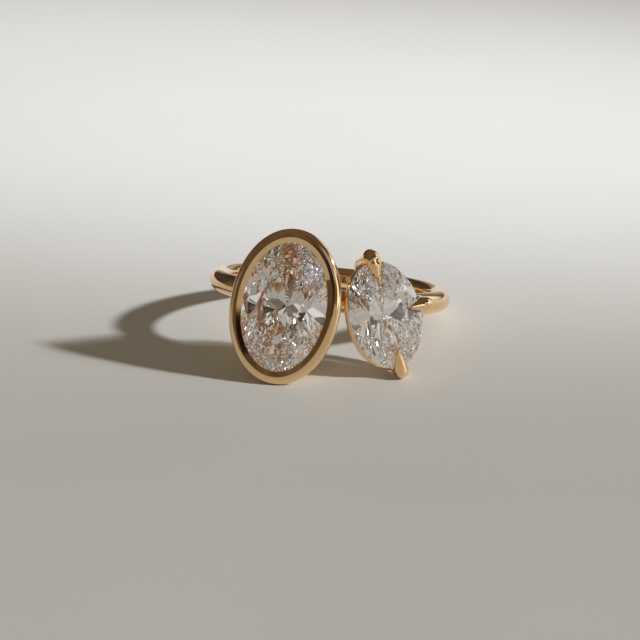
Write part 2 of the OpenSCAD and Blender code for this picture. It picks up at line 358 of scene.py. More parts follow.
def ring_place(record: dict) -> Matrix:
    """Works out where the ring lies from the finger hole's mount.

    Args:
        record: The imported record.

    Returns:
        The matrix from the ring's own frame in millimetres to metres where it lies.
    """
    hole = next(m for m in record["mounts"] if m["name"] == "finger_hole")
    finger = Vector(hole["axis"]).normalized()
    back = Vector((0.0, finger.z, -finger.y)).normalized()
    turn = Matrix((back.cross(finger), back, finger)).transposed().to_4x4()
    return Matrix.Translation(Vector(hole["pos_m"])) @ turn @ Matrix.Scale(MM, 4)


@dataclass(frozen=True)
class Head:
    """Where a head sits on the shank. Its Z points out from the finger and its Y along it.

    Attributes:
        angle: Degrees round the shank from the front, to the right.
        girdle: Distance of its girdle plane from the finger axis.
        lean: Lean of its oval to the right, in degrees.
        drop: Distance below the shank's middle plane.
    """

    angle: float
    girdle: float
    lean: float
    drop: float

    def matrix(self, place: Matrix) -> Matrix:
        """Gives the head's frame.

        Args:
            place: Where the ring lies.

        Returns:
            The matrix from the head's frame in millimetres to metres.
        """
        out = Matrix.Translation((0.0, -self.girdle, -self.drop)) @ Matrix.Rotation(radians(90), 4, "X")
        leaned = out @ Matrix.Rotation(-radians(self.lean), 4, "Z")
        return place @ Matrix.Rotation(radians(self.angle), 4, "Z") @ leaned


@dataclass(frozen=True)
class Oval:
    """The outline of a stone's girdle.

    Attributes:
        length: Its size along Y.
        width: Its size along X.
    """

    length: float
    width: float

    def at(self, turn: float, out: float = 0.0) -> Vector:
        """Gives the girdle plane's point at a turn in radians, a distance out from the outline."""
        normal = Vector((self.length * cos(turn), self.width * sin(turn))).normalized()
        return Vector((self.width * cos(turn), self.length * sin(turn))) / 2 + out * normal

    def facing(self, direction: float) -> Vector:
        """Gives the point in the girdle plane whose outward normal has a direction in degrees."""
        a, b, angle = self.length / 2, self.width / 2, radians(direction)
        return self.at(atan2(a * sin(angle), b * cos(angle)))


def turns(count: int, shift: float = 0.0) -> list[float]:
    """Gives equal turns round a whole circle in radians, shifted by a share of one."""
    return [2 * pi * (k + shift) / count for k in range(count)]


def make_piece(name: str, points: Sequence[Vector], faces: Sequence[Sequence[int]], matrix: Matrix,
               smooth: bool = True) -> Piece:
    """Makes a mesh piece that rides with the ring.

    Args:
        name: The piece's name.
        points: Its points in millimetres, in the frame of matrix.
        faces: Its faces as point numbers, outward by the right-hand rule.
        matrix: From that frame to metres where the ring lies.
        smooth: Whether its faces are shaded as one round surface.

    Returns:
        The piece.
    """
    mesh = bpy.data.meshes.new(name)
    mesh.from_pydata([matrix @ Vector((*p, 0.0)[:3]) for p in points], [], faces)
    mesh.validate()
    mesh.polygons.foreach_set("use_smooth", [smooth] * len(mesh.polygons))
    piece = bpy.data.objects.new(name, mesh)
    bpy.context.scene.collection.objects.link(piece)
    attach(piece, BODY)
    return piece


def loft_faces(rings: int, sides: int, closed: bool) -> list[list[int]]:
    """Joins equal rings of points into faces.

    Args:
        rings: How many rings there are.
        sides: How many points a ring has.
        closed: Whether the last ring joins the first. Otherwise both ends get a face.

    Returns:
        The faces as point numbers.
    """
    faces = []
    for i in range(rings if closed else rings - 1):
        n = (i + 1) % rings
        for k in range(sides):
            j = (k + 1) % sides
            faces.append([i * sides + k, n * sides + k, n * sides + j, i * sides + j])
    if not closed:
        faces.append(list(range(sides)))
        faces.append([(rings - 1) * sides + k for k in reversed(range(sides))])
    return faces


def sweep_round(name: str, steps: int, section: Callable[[float], list[Vector]], matrix: Matrix) -> Piece:
    """Makes a closed hoop from its section at each turn.

    Args:
        name: The piece's name.
        steps: How many sections go round.
        section: Gives the section's points for a turn in radians.
        matrix: From the points' frame to metres.

    Returns:
        The piece.
    """
    rings = [section(turn) for turn in turns(steps)]
    faces = loft_faces(steps, len(rings[0]), closed=True)
    return make_piece(name, [point for ring in rings for point in ring], faces, matrix)


def catmull_rom(rows: Sequence[Sequence[float]], steps: int) -> list[list[float]]:
    """Draws a smooth curve through the rows of a table.

    Args:
        rows: The rows, all of one length.
        steps: How many rows come out for each span.

    Returns:
        The rows of the curve.
    """
    last = len(rows) - 1
    curve = []
    for i in range(last):
        p, q, r, s = rows[max(i - 1, 0)], rows[i], rows[i + 1], rows[min(i + 2, last)]
        for k in range(steps):
            t = k / steps
            curve.append([
                0.5 * (2 * q[c] + (r[c] - p[c]) * t + (2 * p[c] - 5 * q[c] + 4 * r[c] - s[c]) * t * t
                       + (3 * q[c] - p[c] - 3 * r[c] + s[c]) * t ** 3)
                for c in range(len(q))])
    curve.append(list(rows[last]))
    return curve


def dress(piece: Piece, material: Material) -> None:
    """Gives a piece its material and logs its faces.

    Args:
        piece: The piece.
        material: Its material.
    """
    piece.data.materials.append(material)
    LOG.info("%s: %d faces, %s", piece.name, len(piece.data.polygons), material.name)


class GoldPart:
    """A part of the ring that is all gold.

    Attributes:
        gold: Its finish.
    """

    gold: PolishedGold

    def build(self, place: Matrix, shop: EffectShop) -> list[Piece]:
        """Builds and dresses the part.

        Args:
            place: Where the ring lies.
            shop: Where the shared effects come from.

        Returns:
            Its pieces.
        """
        pieces = self.shape(place)
        material = self.gold.material(shop)
        for piece in pieces:
            dress(piece, material)
        return pieces

    def shape(self, place: Matrix) -> list[Piece]:
        """Makes the part's pieces where the ring lies."""
        raise NotImplementedError


@dataclass
class Shank(GoldPart):
    """The round wire hoop, dressed flat inside for the finger.

    Attributes:
        bore: Radius of the finger hole.
        wire: Radius of the wire.
        land: Depth of the flat land inside.
    """

    bore: float = 8.35
    wire: float = 0.9
    land: float = 0.12
    gold: PolishedGold = field(default_factory=lambda: PolishedGold("shank_gold"))
    steps_round: int = 288
    steps_wire: int = 40

    @property
    def outer(self) -> float:
        """Radius of the hoop's outside."""
        return self.bore - self.land + 2 * self.wire

    def section(self) -> list[tuple[float, float]]:
        """Gives the wire's section as radius and height, flat where the finger goes."""
        centre = self.bore - self.land + self.wire
        return [(max(centre + self.wire * cos(turn), self.bore), self.wire * sin(turn))
                for turn in turns(self.steps_wire, 0.5)]

    def at(self, turn: float) -> list[Vector]:
        """Gives the section's points at a turn."""
        return [Vector((r * cos(turn), r * sin(turn), z)) for r, z in self.section()]

    def shape(self, place: Matrix) -> list[Piece]:
        """Makes the hoop where the ring lies."""
        return [sweep_round("shank", self.steps_round, self.at, place)]


@dataclass(frozen=True)
class BrilliantCut:
    """An oval brilliant, a round brilliant stretched to its oval.

    Attributes:
        oval: Its girdle outline.
        crown: Height of the crown above the girdle.
        pavilion: Depth of the pavilion below the girdle.
        girdle: Thickness of the girdle.
        table: Share of the width that the table takes.
        star: Share of the width where the star facets end.
        lower: Share of the width where the lower facets end.
        split: How far the apex of each lower facet stands out, which splits it in four.
        apex: Where that apex is, as shares of the facet's corners.
        steep: How much steeper than its mean slope a side of the stone may be.
        upright: How little a facet's normal points along the stone's axis in the girdle.
    """

    oval: Oval
    crown: float
    pavilion: float
    girdle: float = 0.18
    table: float = 0.56
    star: float = 0.78
    lower: float = 0.22
    split: float = 0.035
    apex: tuple[float, ...] = (0.22, 0.34, 0.22, 0.22)
    steep: float = 1.06
    upright: float = 0.1

    @property
    def pavilion_pitch(self) -> float:
        """The steepest slope of the pavilion's sides."""
        return self.steep * self.pavilion / (self.oval.width / 2)

    def points(self) -> list[Vector]:
        """Gives the corner points of all facets."""
        g = self.girdle / 2
        top, low = g + self.crown, -g - self.pavilion
        half, chord = cos(pi / 8), cos(pi / 16)
        star_z = top - self.crown * (self.star * half - self.table) / (1 - self.table)
        main_z = low + (-g - low) * self.lower * half
        rise = (star_z - g) * (1 - chord) / (chord * (1 - self.star))
        fall = (-g - main_z) * (1 - chord) / (chord * (1 - self.lower))
        rows = [(self.table, turn, top) for turn in turns(8)]
        rows += [(self.star, turn, star_z) for turn in turns(8, 0.5)]
        rows += [(1.0, turn, g - (j % 2) * rise) for j, turn in enumerate(turns(32))]
        rows += [(1.0, turn, -g + (j % 2) * fall) for j, turn in enumerate(turns(32))]
        rows += [(self.lower, turn, main_z) for turn in turns(8, 0.5)]
        rows.append((0.0, 0.0, low))
        a, b = self.oval.length / 2, self.oval.width / 2
        points = [Vector((b * r * cos(t), a * r * sin(t), z)) for r, t, z in rows]
        for facet in self.lower_facets():
            corners = [points[i] for i in facet]
            outward = (corners[1] - corners[0]).cross(corners[2] - corners[0]).normalized()
            middle = sum((corner * share for corner, share in zip(corners, self.apex)), Vector())
            points.append(middle + outward * self.split)
        return points

    @staticmethod
    def lower_facets() -> list[list[int]]:
        """Gives the sixteen lower facets as point numbers, before they are split."""
        return [[48 + 4 * k + h, 80 + k, 48 + (4 * k + h + 2) % 32, 48 + 4 * k + h + 1]
                for k in range(8) for h in (0, 2)]

    @classmethod
    def faces(cls) -> list[list[int]]:
        """Gives the facets as point numbers: table, stars, kites, upper, girdle, lower and mains."""
        s, u, l, q, c = 8, 16, 48, 80, 88
        faces = [list(range(8))]
        for k in range(8):
            before, after = (k + 7) % 8, (k + 1) % 8
            faces.append([k, s + k, after])
            faces.append([k, s + before, u + 4 * k, s + k])
            faces.append([l + 4 * k, q + before, c, q + k])
            for h in (0, 2):
                a, b = 4 * k + h, (4 * k + h + 2) % 32
                faces.append([u + a, u + a + 1, u + b, s + k])
        for n, facet in enumerate(cls.lower_facets()):
            faces += [[facet[i], facet[(i + 1) % 4], c + 1 + n] for i in range(4)]
        faces += [[u + j, l + j, l + (j + 1) % 32, u + (j + 1) % 32] for j in range(32)]
        return faces

    def build(self, name: str, matrix: Matrix, slot: str, node: str, shop: EffectShop) -> Piece:
        """Builds and dresses the stone, with a matt girdle.

        Args:
            name: The piece's name.
            matrix: From the head's frame to metres.
            slot: The start of its materials' names.
            node: The CAD node that it stands for.
            shop: Where the shared effects come from.

        Returns:
            The piece.
        """
        piece = make_piece(name, self.points(), self.faces(), matrix, smooth=False)
        dress(piece, CutDiamond(slot + "_facets").material(shop))
        piece.data.materials.append(CutDiamond(slot + "_girdle", rough=0.3).material(shop))
        axis = (matrix.to_3x3() @ Vector((0.0, 0.0, 1.0))).normalized()
        for facet in piece.data.polygons:
            facet.material_index = int(abs(facet.normal.dot(axis)) < self.upright)
        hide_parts(node)
        return piece


def rounded(corners: Sequence[tuple[float, float, float]], steps: int = 5,
            most: float = 0.45) -> list[tuple[float, float]]:
    """Rounds the corners of a closed section.

    Args:
        corners: Each corner's two coordinates and the length that its round takes off each side.
        steps: How many points a round has.
        most: The largest share of a side that a round may take.

    Returns:
        The section's points.
    """
    points = []
    for i, (x, y, cut) in enumerate(corners):
        here = Vector((x, y))
        if cut <= 0:
            points.append((x, y))
            continue
        sides = [Vector(corners[j % len(corners)][:2]) - here for j in (i - 1, i + 1)]
        start, end = (here + side.normalized() * min(cut, side.length * most) for side in sides)
        for k in range(steps):
            t = k / (steps - 1)
            p = start * (1 - t) ** 2 + here * 2 * t * (1 - t) + end * t * t
            points.append((p.x, p.y))
    return points


@dataclass
class Setting(GoldPart):
    """A head of the ring, which holds a stone.

    Attributes:
        cut: The stone that it holds.
        head: Where it sits.
        shank_outer: Radius of the shank's outside.
    """

    cut: BrilliantCut
    head: Head
    shank_outer: float


@dataclass
class BezelCup(Setting):
    """The cup that holds the large oval, with its round rim."""

    rim_out: float = 0.93
    crest_share: float = 0.61
    dome_height: float = 0.42
    dome_turn: float = 76.0
    lip_lap: float = 0.13
    lip_thick: float = 0.08
    crown_steep: float = 1.25
    ledge: float = 0.33
    seat_gap: float = 0.04
    taper: float = 22.0
    foot_wall: float = 0.7
    foot_lap: float = 0.58
    side_round: float = 0.3
    lip_round: float = 0.02
    ledge_round: float = 0.03
    lip_shares: tuple[float, ...] = (0.0, 0.12, 0.24, 0.4, 0.6, 0.8, 0.92, 1.0)
    gold: PolishedGold = field(default_factory=lambda: PolishedGold("bezel_gold"))
    steps_round: int = 256
    steps_dome: int = 20

    def section(self) -> list[tuple[float, float]]:
        """Gives the cup's section as distance outward from the girdle and height."""
        cut, girdle = self.cut, self.cut.girdle / 2
        crown_pitch = self.crown_steep * cut.crown / (cut.oval.width / 2 * (1 - cut.table))
        lip_low = girdle + self.seat_gap + self.lip_lap * crown_pitch
        dome_end = acos(1 - 1 / self.crest_share)
        crest_in = self.crest_share * (self.rim_out + self.lip_lap)
        dome_low = lip_low + self.lip_thick - self.dome_height * sin(dome_end)
        foot = self.shank_outer - self.foot_lap - self.head.girdle
        foot_out = self.rim_out + foot * tan(radians(self.taper))
        ledge = -girdle - self.seat_gap - self.ledge * cut.pavilion_pitch
        corners = [(foot_out, foot, 0.0), (self.rim_out, min(0.0, dome_low - self.lip_thick), self.side_round)]
        for k in range(self.steps_dome + 1):
            turn = radians(self.dome_turn) * k / self.steps_dome
            out = self.rim_out - crest_in * (1 - cos(turn))
            corners.append((out, dome_low + self.dome_height * sin(turn), 0.0))
        crest = (self.rim_out - crest_in, dome_low + self.dome_height)
        lip = (-self.lip_lap, lip_low + self.lip_thick)
        for share in self.lip_shares:
            across, up = (crest[i] + (lip[i] - crest[i]) * share for i in (0, 1))
            corners.append((across, up, self.lip_round if share in (0.0, 1.0) else 0.0))
        corners += [
            (-self.lip_lap, lip_low, self.lip_round),
            (self.seat_gap, girdle + self.seat_gap, 0.0), (self.seat_gap, -girdle - self.seat_gap, 0.0),
            (-self.ledge, ledge, self.ledge_round), (-self.ledge, ledge - self.lip_lap, self.ledge_round),
            (foot_out - self.foot_wall, foot, 0.0)]
        return rounded(corners)

    def at(self, turn: float) -> list[Vector]:
        """Gives the section's points at a turn of the oval."""
        return [Vector((*self.cut.oval.at(turn, out), z)) for out, z in self.section()]

    def shape(self, place: Matrix) -> list[Piece]:
        """Makes the cup where the ring lies."""
        return [sweep_round("bezel_cup", self.steps_round, self.at, self.head.matrix(place))]


class Station(NamedTuple):
    """One section of a claw or post, in millimetres.

    Attributes:
        out: Distance out from the girdle.
        up: Height above the girdle plane.
        half: Half its width.
        outer: Its depth to the outside of its middle line.
        inner: Its depth to the inside.
    """

    out: float
    up: float
    half: float
    outer: float
    inner: float


@dataclass(frozen=True)
class Claw:
    """One claw of the basket.

    Attributes:
        name: The piece's name.
        direction: The girdle's normal where it stands, in degrees.
        turn: The turn of its tip from that normal.
        reach: Its reach over the stone, as a share of the longest one's.
        width: Its width as a share of the named one.
        thick: Its thickness as a share of the named one.
        slim: How slim its point is, as a share of the usual one.
    """

    name: str
    direction: float
    turn: float
    reach: float
    width: float
    thick: float
    slim: float = 1.0

    @property
    def at_end(self) -> bool:
        """Whether it holds an end of the oval, and not a side."""
        return abs(sin(radians(self.direction))) > 0.5


@dataclass
class ClawBasket(Setting):
    """The open basket that holds the smaller oval: three claws, a rail and a post."""

    claw_width: float = 1.0
    claw_thick: float = 0.9
    claw_gap: float = 0.08
    claw_reach: float = 1.47
    rail_wire: float = 0.52
    rail_gap: float = 0.07
    rail_inset: float = 0.18
    rail_shift: float = 0.15
    post_direction: float = 160.0
    post_width: float = 1.2
    post_thick: float = 0.5
    back_power: float = 0.8
    slim_from: float = -0.5
    nose_length: float = 0.6
    nose_turns: tuple[float, ...] = (20, 40, 58, 74, 86)
    gold: PolishedGold = field(default_factory=lambda: PolishedGold("basket_gold"))
    sides: int = 28
    steps: int = 7
    rail_sides: int = 20
    rail_steps: int = 192
    claws: tuple[Claw, ...] = (
        Claw("upper_claw", 86.5, 2, 1.12, 1.3, 1.08, 0.65),
        Claw("right_claw", -0.5, -11, 0.73, 1.08, 1.18),
        Claw("lower_claw", 270, 0, 1.04, 1.16, 0.93),
    )
    # Tip: out as a share of the gap, or in as a share of the reach, height as a share of
    # half the girdle and the gap, width share, outer and inner thickness shares
    tip_rows: tuple[tuple[float, ...], ...] = (
        (1.60, -0.90, 1.00, 0.90, 0.06), (1.55, 0.30, 1.03, 0.92, 0.05),
        (1.10, 1.10, 1.04, 0.91, 0.05), (-0.03, 1.45, 1.00, 0.82, 0.05),
        (-0.27, 1.50, 0.84, 0.66, 0.05), (-0.60, 1.50, 0.56, 0.40, 0.05),
        (-0.88, 1.50, 0.28, 0.19, 0.04), (-1.00, 1.45, 0.09, 0.06, 0.03))
    # Stems, from the foot up: in as a share of the half axis, depth as a share of the
    # girdle's height over the shank, width share and thickness share
    end_stem: tuple[tuple[float, ...], ...] = (
        (1.12, 1.05, 0.70, 0.70), (0.86, 1.03, 0.70, 0.70), (0.58, 0.98, 0.72, 0.72),
        (0.34, 0.87, 0.74, 0.74), (0.20, 0.69, 0.78, 0.76), (0.13, 0.46, 0.84, 0.80),
        (0.07, 0.22, 0.94, 0.88))
    side_stem: tuple[tuple[float, ...], ...] = (
        (0.66, 1.13, 0.70, 0.70), (0.50, 0.94, 0.72, 0.72), (0.32, 0.71, 0.76, 0.76),
        (0.18, 0.46, 0.84, 0.80), (0.08, 0.22, 0.94, 0.88))
    post_rows: tuple[tuple[float, float], ...] = ((0.0, 0.0), (0.11, 0.28), (0.31, 0.7), (0.51, 1.14))

    @property
    def depth(self) -> float:
        """Height of the girdle plane over the shank."""
        return self.head.girdle - self.shank_outer

    @property
    def rail_drop(self) -> float:
        """Depth of the rail's middle below the girdle plane, clear of the pavilion's slope."""
        pitch = self.cut.pavilion_pitch
        clear = (self.rail_wire / 2 + self.rail_gap) * hypot(1.0, pitch)
        return self.cut.girdle / 2 + pitch * self.rail_inset + clear

    def claw_stations(self, claw: Claw) -> list[Station]:
        """Works out the sections of one claw from its foot to its tip.

        Args:
            claw: The claw.

        Returns:
            Its sections.
        """
        half_axis = (self.cut.oval.length if claw.at_end else self.cut.oval.width) / 2
        pitch = self.cut.crown / ((1 - self.cut.table) * half_axis)
        thick = self.claw_thick * claw.thick
        half = self.claw_width * claw.width / 2
        stations = []
        for inward, depth, width, share in self.end_stem if claw.at_end else self.side_stem:
            side, away = share * thick / 2, thick / 2 - inward * half_axis
            stations.append(Station(away, -depth * self.depth, width * half, side, side))
        for out, height, width, outer, inner in self.tip_rows:
            away = out * (self.claw_reach * claw.reach if out < 0 else self.claw_gap)
            up = height * (self.cut.girdle / 2 + self.claw_gap) + pitch * max(0.0, -away)
            slim = claw.slim if out < self.slim_from else 1.0
            stations.append(Station(away, up, slim * width * half, slim * outer * thick, inner * thick))
        return [Station(*row) for row in catmull_rom(stations, self.steps)]

    def nose(self, stations: list[Station]) -> list[Station]:
        """Rounds off a tip with a short nose.

        Args:
            stations: The sections, the tip's last.

        Returns:
            The nose's sections.
        """
        last, before = stations[-1], stations[-2]
        step = Vector((last.out - before.out, last.up - before.up)).normalized()
        reach = self.nose_length * last.half
        nose = []
        for degrees in self.nose_turns:
            share, along = cos(radians(degrees)), sin(radians(degrees)) * reach
            nose.append(Station(last.out + step.x * along, last.up + step.y * along,
                                last.half * share, last.outer * share, last.inner * share))
        return nose

    def swept(self, name: str, base: Vector, direction: float, stations: Sequence[Station],
              matrix: Matrix) -> Piece:
        """Sweeps sections in the upright plane through a girdle point.

        Args:
            name: The piece's name.
            base: The girdle point.
            direction: The plane's direction outward, in degrees.
            stations: The sections.
            matrix: From the head's frame to metres.

        Returns:
            The piece.
        """
        out = Vector((cos(radians(direction)), sin(radians(direction)), 0.0))
        across = Vector((out.y, -out.x, 0.0))
        upward = Vector((0.0, 0.0, 1.0))
        points = []
        for i, row in enumerate(stations):
            ahead, behind = stations[min(i + 1, len(stations) - 1)], stations[max(i - 1, 0)]
            slope = Vector((ahead.out - behind.out, ahead.up - behind.up)).normalized()
            middle = Vector((base.x, base.y, 0.0)) + row.out * out + row.up * upward
            for turn in turns(self.sides):
                deep = sin(turn) * row.inner
                if deep > 0:
                    deep = sin(turn) ** self.back_power * row.outer
                points.append(middle + row.half * cos(turn) * across
                              + deep * slope.y * out - deep * slope.x * upward)
        return make_piece(name, points, loft_faces(len(stations), self.sides, closed=False), matrix)

    def rail_at(self, turn: float) -> list[Vector]:
        """Gives the points round the wire of the rail under the girdle, at a turn of the oval."""
        low, wire = Vector((0.0, -self.rail_shift, -self.rail_drop)), self.rail_wire / 2
        return [Vector((*self.cut.oval.at(turn, wire * cos(q) - self.rail_inset), wire * sin(q))) + low
                for q in turns(self.rail_sides)]

    def post(self, matrix: Matrix) -> Piece:
        """Builds the plain post between the rail and the shank.

        Args:
            matrix: From the head's frame to metres.

        Returns:
            The piece.
        """
        half_axis, half, thick = self.cut.oval.width / 2, self.post_width / 2, self.post_thick / 2
        drop, fall = self.rail_drop, self.depth - self.rail_drop
        stations = [
            Station(-self.rail_inset - inward * half_axis, -drop - depth * fall, half, thick, thick)
            for inward, depth in self.post_rows]
        smooth = [Station(*row) for row in catmull_rom(stations, self.steps)]
        base = self.cut.oval.facing(self.post_direction)
        return self.swept("basket_post", base, self.post_direction, smooth, matrix)

    def shape(self, place: Matrix) -> list[Piece]:
        """Makes the basket where the ring lies.

        Args:
            place: Where the ring lies.

        Returns:
            The rail, the post and the claws.
        """
        matrix = self.head.matrix(place)
        pieces = [sweep_round("basket_rail", self.rail_steps, self.rail_at, matrix), self.post(matrix)]
        for claw in self.claws:
            stations = self.claw_stations(claw)
            stations += self.nose(stations)
            base = self.cut.oval.facing(claw.direction)
            pieces.append(self.swept(claw.name, base, claw.direction + claw.turn, stations, matrix))
        return pieces


def towards(azimuth: float, elevation: float) -> Vector:
    """Gives the direction at degrees to the right of the camera's side and over the horizon."""
    a, e = radians(azimuth), radians(elevation)
    return Vector((sin(a) * cos(e), -cos(a) * cos(e), sin(e)))


@dataclass(frozen=True)
class Patch:
    """One soft patch of the room, bright or dark.

    Attributes:
        azimuth: Its direction in degrees from the camera's side, to the right.
        elevation: Its height over the horizon in degrees.
        core: Half its width where it is even, in degrees.
        fade: The width of its soft edge in degrees.
        colour: Its brightness in red, green and blue.
    """

    azimuth: float
    elevation: float
    core: float
    fade: float
    colour: Colour

    def over(self, wiring: Wiring, direction: Socket, under: Socket | Colour) -> Socket:
        """Lays the patch over what lies under it.

        Args:
            wiring: The world's wiring.
            direction: The direction that is looked up.
            under: The colour under it.

        Returns:
            The colour with the patch.
        """
        centre = tuple(towards(self.azimuth, self.elevation))
        near = wiring.add("VectorMath", {0: direction, 1: centre}, operation="DOT_PRODUCT").outputs["Value"]
        edge, full = cos(radians(self.core + self.fade)), cos(radians(self.core))
        inputs = {"Value": near, "From Min": edge, "From Max": full}
        share = wiring.add("MapRange", inputs, interpolation_type="SMOOTHSTEP").outputs["Result"]
        return wiring.blend(share, under, self.colour)


@dataclass(frozen=True)
class Room:
    """The room round the stage, dim and warm, as each kind of surface sees it.

    Polished metal sees the walls and their patches. The matt ground gets an even glow. A ray that
    leaves a stone sees a mosaic of soft tones and small lights, which gives the stones their life.

    Attributes:
        walls: Their colour where no patch lies.
        patches: The patches on them, each over those before it.
        clutter_scale: How fine the walls' unevenness is.
        clutter: How uneven they are, from 0.
        clutter_values: Noise values where they are darkest and brightest.
        glow: What the matt ground gets.
        tones: The dark, middle and bright tones of the mosaic.
        deep_tone: The dark tone at the room's right side.
        right_side: Where that side begins and where it is full, as a share to the right.
        right_shift: How much darker its cells are.
        to_middle: Cell values where the dark tone gives way to the middle one.
        to_bright: Cell values where the middle tone gives way to the bright one.
        viewer: The dark place of the one who looks, which crosses the stones as a bow tie.
        tone_scale: How fine the mosaic is.
        pin_scale: How close the small lights stand.
        pin_size: Their size as a share of their spacing.
        pin_core: The share of it that is fully bright.
        pin_strength: Their brightness.
        pin_tint: How much colour they have.
        to_lit: Cell values from which they are lit, up to full strength.
    """

    walls: Colour = (0.11, 0.078, 0.057)
    patches: tuple[Patch, ...] = (
        Patch(-155, 8, 20, 14, (0.055, 0.042, 0.034)),
        Patch(174, 2, 8, 12, (0.38, 0.36, 0.3)),
        Patch(118, 20, 18, 16, (0.95, 0.96, 1.0)),
        Patch(-74, 3, 9, 9, (0.28, 0.23, 0.19)),
        Patch(16, 29, 8, 10, (0.32, 0.32, 0.34)),
        Patch(-22, 12, 5, 3, (0.04, 0.03, 0.022)),
        Patch(-9, 14, 6, 2.5, (0.012, 0.009, 0.007)),
        Patch(-13, 27, 5, 4, (0.08, 0.06, 0.045)),
        Patch(6, 19, 3, 3, (0.3, 0.32, 0.34)),
        Patch(-5, -60, 64.5, 2.5, (0.38, 0.33, 0.26)),
        Patch(37, 4, 9, 7, (1.3, 1.27, 1.22)),
        Patch(34, 17, 7, 5, (1.3, 1.3, 1.3)),
        Patch(27, 28, 3, 6, (0.5, 0.5, 0.72)),
        Patch(64.5, 28.6, 5, 9, (1.5, 1.45, 1.38)),
    )
    clutter_scale: float = 3.4
    clutter: float = 0.35
    clutter_values: tuple[float, float] = (0.36, 0.64)
    glow: Colour = (0.17, 0.14, 0.1)
    tones: tuple[Colour, Colour, Colour] = ((0.17, 0.145, 0.11), (0.4, 0.35, 0.28), (0.8, 0.79, 0.76))
    deep_tone: Colour = (0.012, 0.01, 0.009)
    right_side: tuple[float, float] = (-0.02, 0.16)
    right_shift: float = 0.28
    to_middle: tuple[float, float] = (0.26, 0.42)
    to_bright: tuple[float, float] = (0.45, 0.85)
    viewer: tuple[Patch, ...] = (
        Patch(7, 30, 18, 4, (0.015, 0.014, 0.016)),
        Patch(36, 20, 15, 4, (0.015, 0.014, 0.016)),
    )
    tone_scale: float = 6.4
    pin_scale: float = 9.0
    pin_size: float = 0.14
    pin_core: float = 0.6
    pin_strength: float = 150.0
    pin_tint: float = 0.6
    to_lit: tuple[float, float] = (0.35, 0.95)

    def build(self) -> None:
        """Makes the room the scene's world."""
        world = bpy.data.worlds.new("room")
        world.use_nodes = True
        bpy.context.scene.world = world
        wiring = Wiring(world.node_tree)
        direction = wiring.add("TexCoord").outputs["Generated"]
        kind = wiring.add("LightPath")
        seen = wiring.blend(kind.outputs["Is Diffuse Ray"], self.mirrored(wiring, direction), self.glow)
        seen = wiring.blend(kind.outputs["Is Transmission Ray"], seen, self.mosaic(wiring, direction))
        background = wiring.add("Background", {"Color": seen, "Strength": 1.0})
        wiring.add("OutputWorld", {"Surface": background.outputs[0]})

    def mirrored(self, wiring: Wiring, direction: Socket) -> Socket:
        """Gives the walls with their patches, a little uneven.

        Args:
            wiring: The world's wiring.
            direction: The direction that is looked up.

        Returns:
            Their colour.
        """
        colour = self.walls
        for patch in self.patches:
            colour = patch.over(wiring, direction, colour)
        noise = wiring.noise(direction, self.clutter_scale, detail=4.0, rough=0.65)
        uneven = wiring.between(noise, *self.clutter_values, 1 - self.clutter, 1 + self.clutter)
        return wiring.scaled(colour, uneven)

    def mosaic(self, wiring: Wiring, direction: Socket) -> Socket:
        """Gives the tones and small lights that the cut stones break up.

        Args:
            wiring: The world's wiring.
            direction: The direction that is looked up.

        Returns:
            Their colour.
        """
        dark, middle, bright = self.tones
        across = wiring.add("SeparateXYZ", {0: direction}).outputs[0]
        right = wiring.between(across, *self.right_side)
        dark = wiring.blend(right, dark, self.deep_tone)
        _, (value, *_) = wiring.cells(direction, self.tone_scale)
        value = wiring.maths("SUBTRACT", value, wiring.maths("MULTIPLY", right, self.right_shift))
        tones = wiring.blend(wiring.between(value, *self.to_middle), dark, middle)
        tones = wiring.blend(wiring.between(value, *self.to_bright), tones, bright)
        for patch in self.viewer:
            tones = patch.over(wiring, direction, tones)
        distance, (hue, _, chance) = wiring.cells(direction, self.pin_scale)
        disc = wiring.between(distance, self.pin_size, self.pin_size * self.pin_core)
        tint = wiring.add("CombineColor", {0: hue, 1: self.pin_tint, 2: 1.0}, mode="HSV").outputs[0]
        power = wiring.maths("MULTIPLY", disc, wiring.between(chance, *self.to_lit, 0.0, self.pin_strength))
        light = wiring.scaled(tint, power)
        return wiring.add("VectorMath", {0: tones, 1: light}, operation="ADD").outputs["Vector"]


